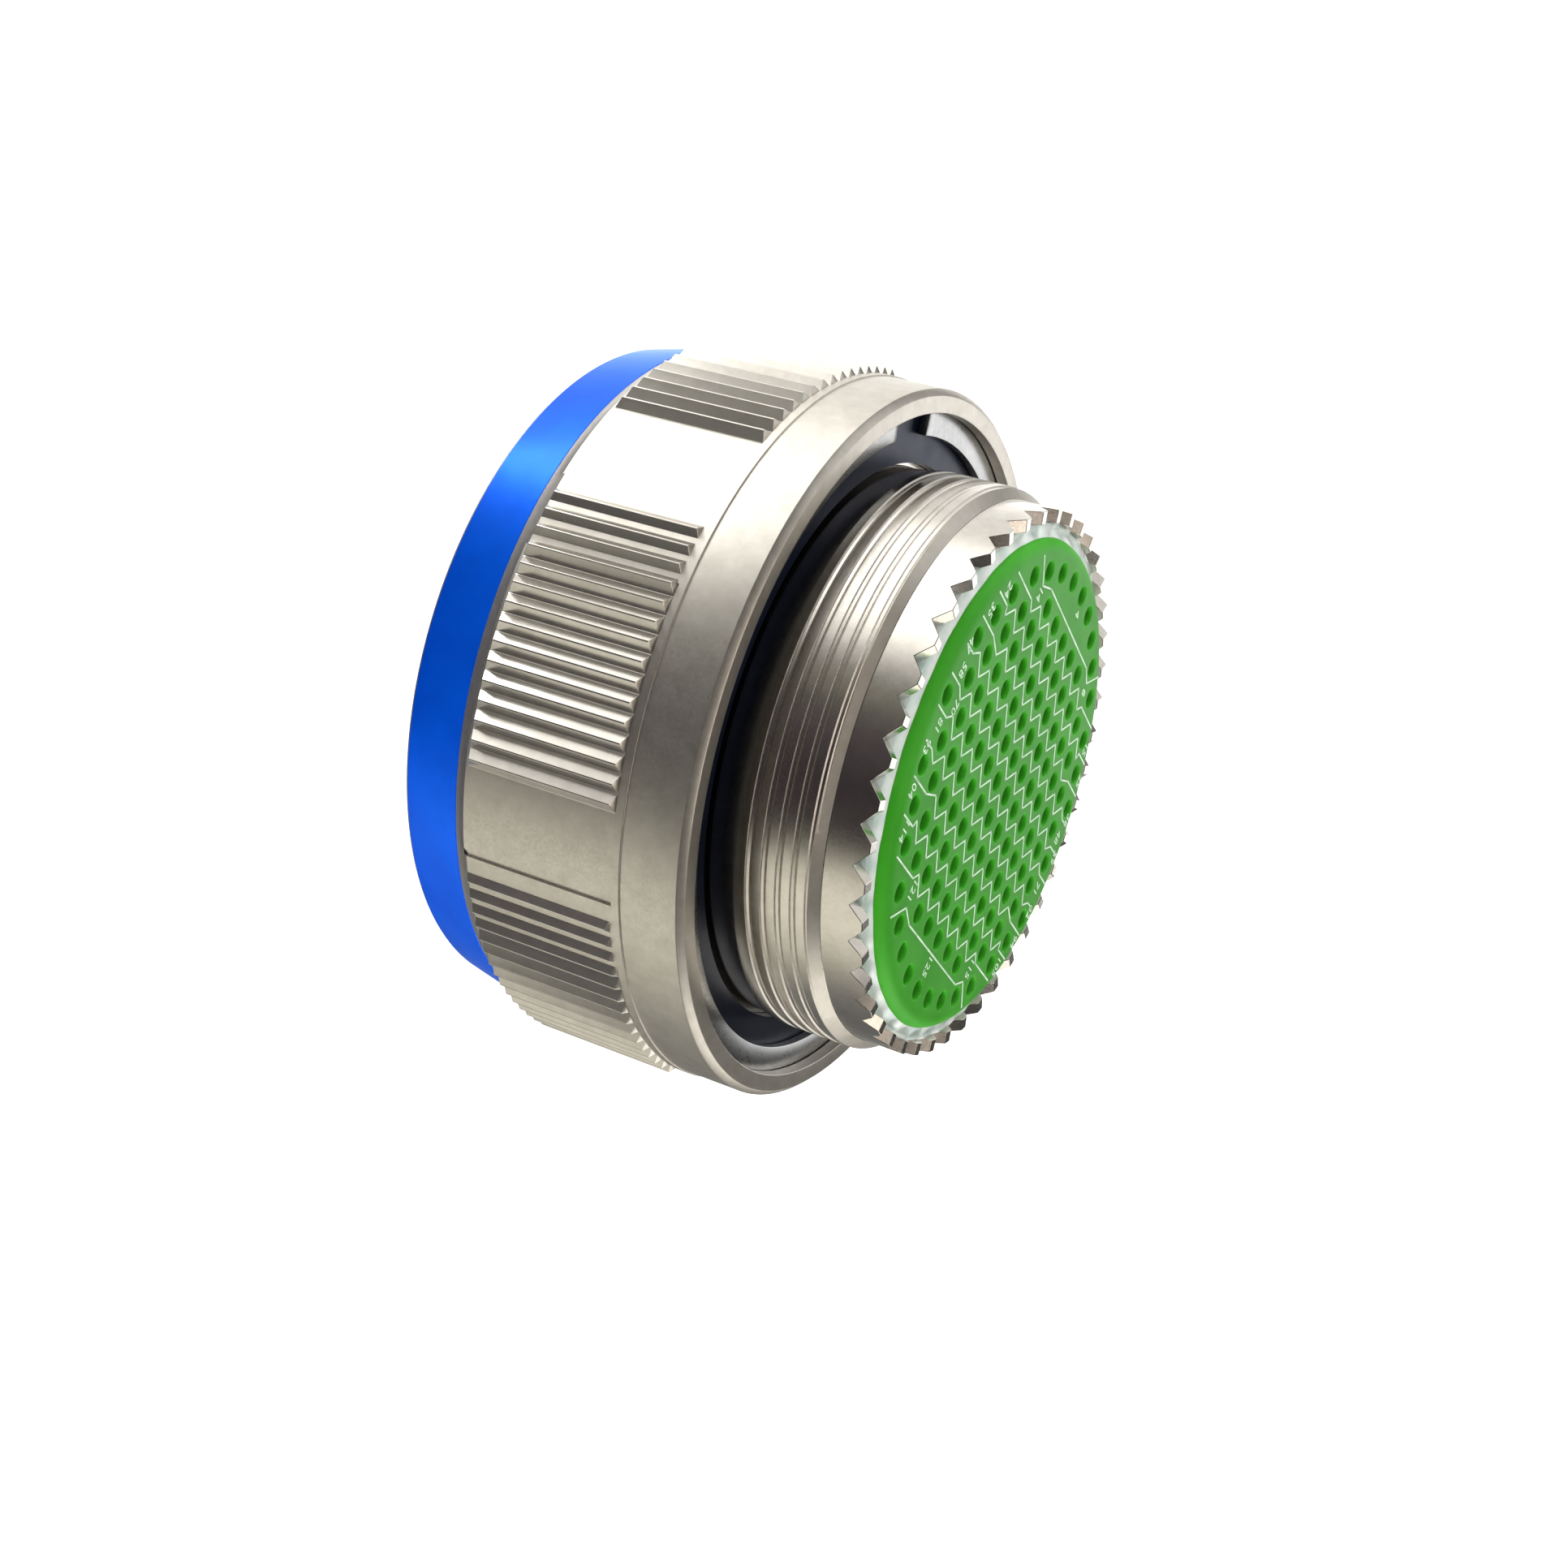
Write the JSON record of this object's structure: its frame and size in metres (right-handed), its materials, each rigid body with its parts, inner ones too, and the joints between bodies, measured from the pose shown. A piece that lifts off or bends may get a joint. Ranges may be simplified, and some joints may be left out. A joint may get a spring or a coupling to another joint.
{
  "type": "straight circular connector plug",
  "caption": "Straight circular connector plug with knurled coupling ring, threaded serrated rear shell and green wire grommet with rows of contact cavities.",
  "frame": {"origin": "on the plug's axis, in the plane of the coupling ring's front face, on which it stands", "axes": "+Z along the axis from the mating end to the wire end; +Y towards the main polarising key"},
  "size_m": [0.048, 0.048, 0.0299],
  "materials": {
    "nickel": "bead-blasted electroless nickel, satin",
    "spring_steel": "stamped stainless spring steel",
    "dark_metal": "smooth blue-black coating",
    "seal_rubber": "moulded silicone rubber",
    "spring_copper": "nickel-plated beryllium copper",
    "insulator": "moulded hard insulator",
    "green_silicone": "moulded silicone rubber, soft sheen",
    "clear_sealant": "translucent pale sealant"
  },
  "bodies": {
    "shell": {"plug_shell": "nickel", "shell_seal": "seal_rubber", "grounding_spring": "spring_copper", "front_insert": "insulator", "rear_insert": "insulator", "rear_grommet": "green_silicone", "grommet_sealant": "clear_sealant"},
    "ring": {"coupling_ring": "nickel", "retaining_ring": "spring_steel", "thrust_washer": "dark_metal", "detent_spring_1": "spring_steel", "detent_spring_2": "spring_steel", "detent_spring_3": "spring_steel"}
  },
  "joints": [
    {"name": "coupling_turn", "type": "hinge", "parent": "shell", "child": "ring", "pos_m": [0, 0, 0], "axis": [0, 0, 1], "continuous": true}
  ]
}
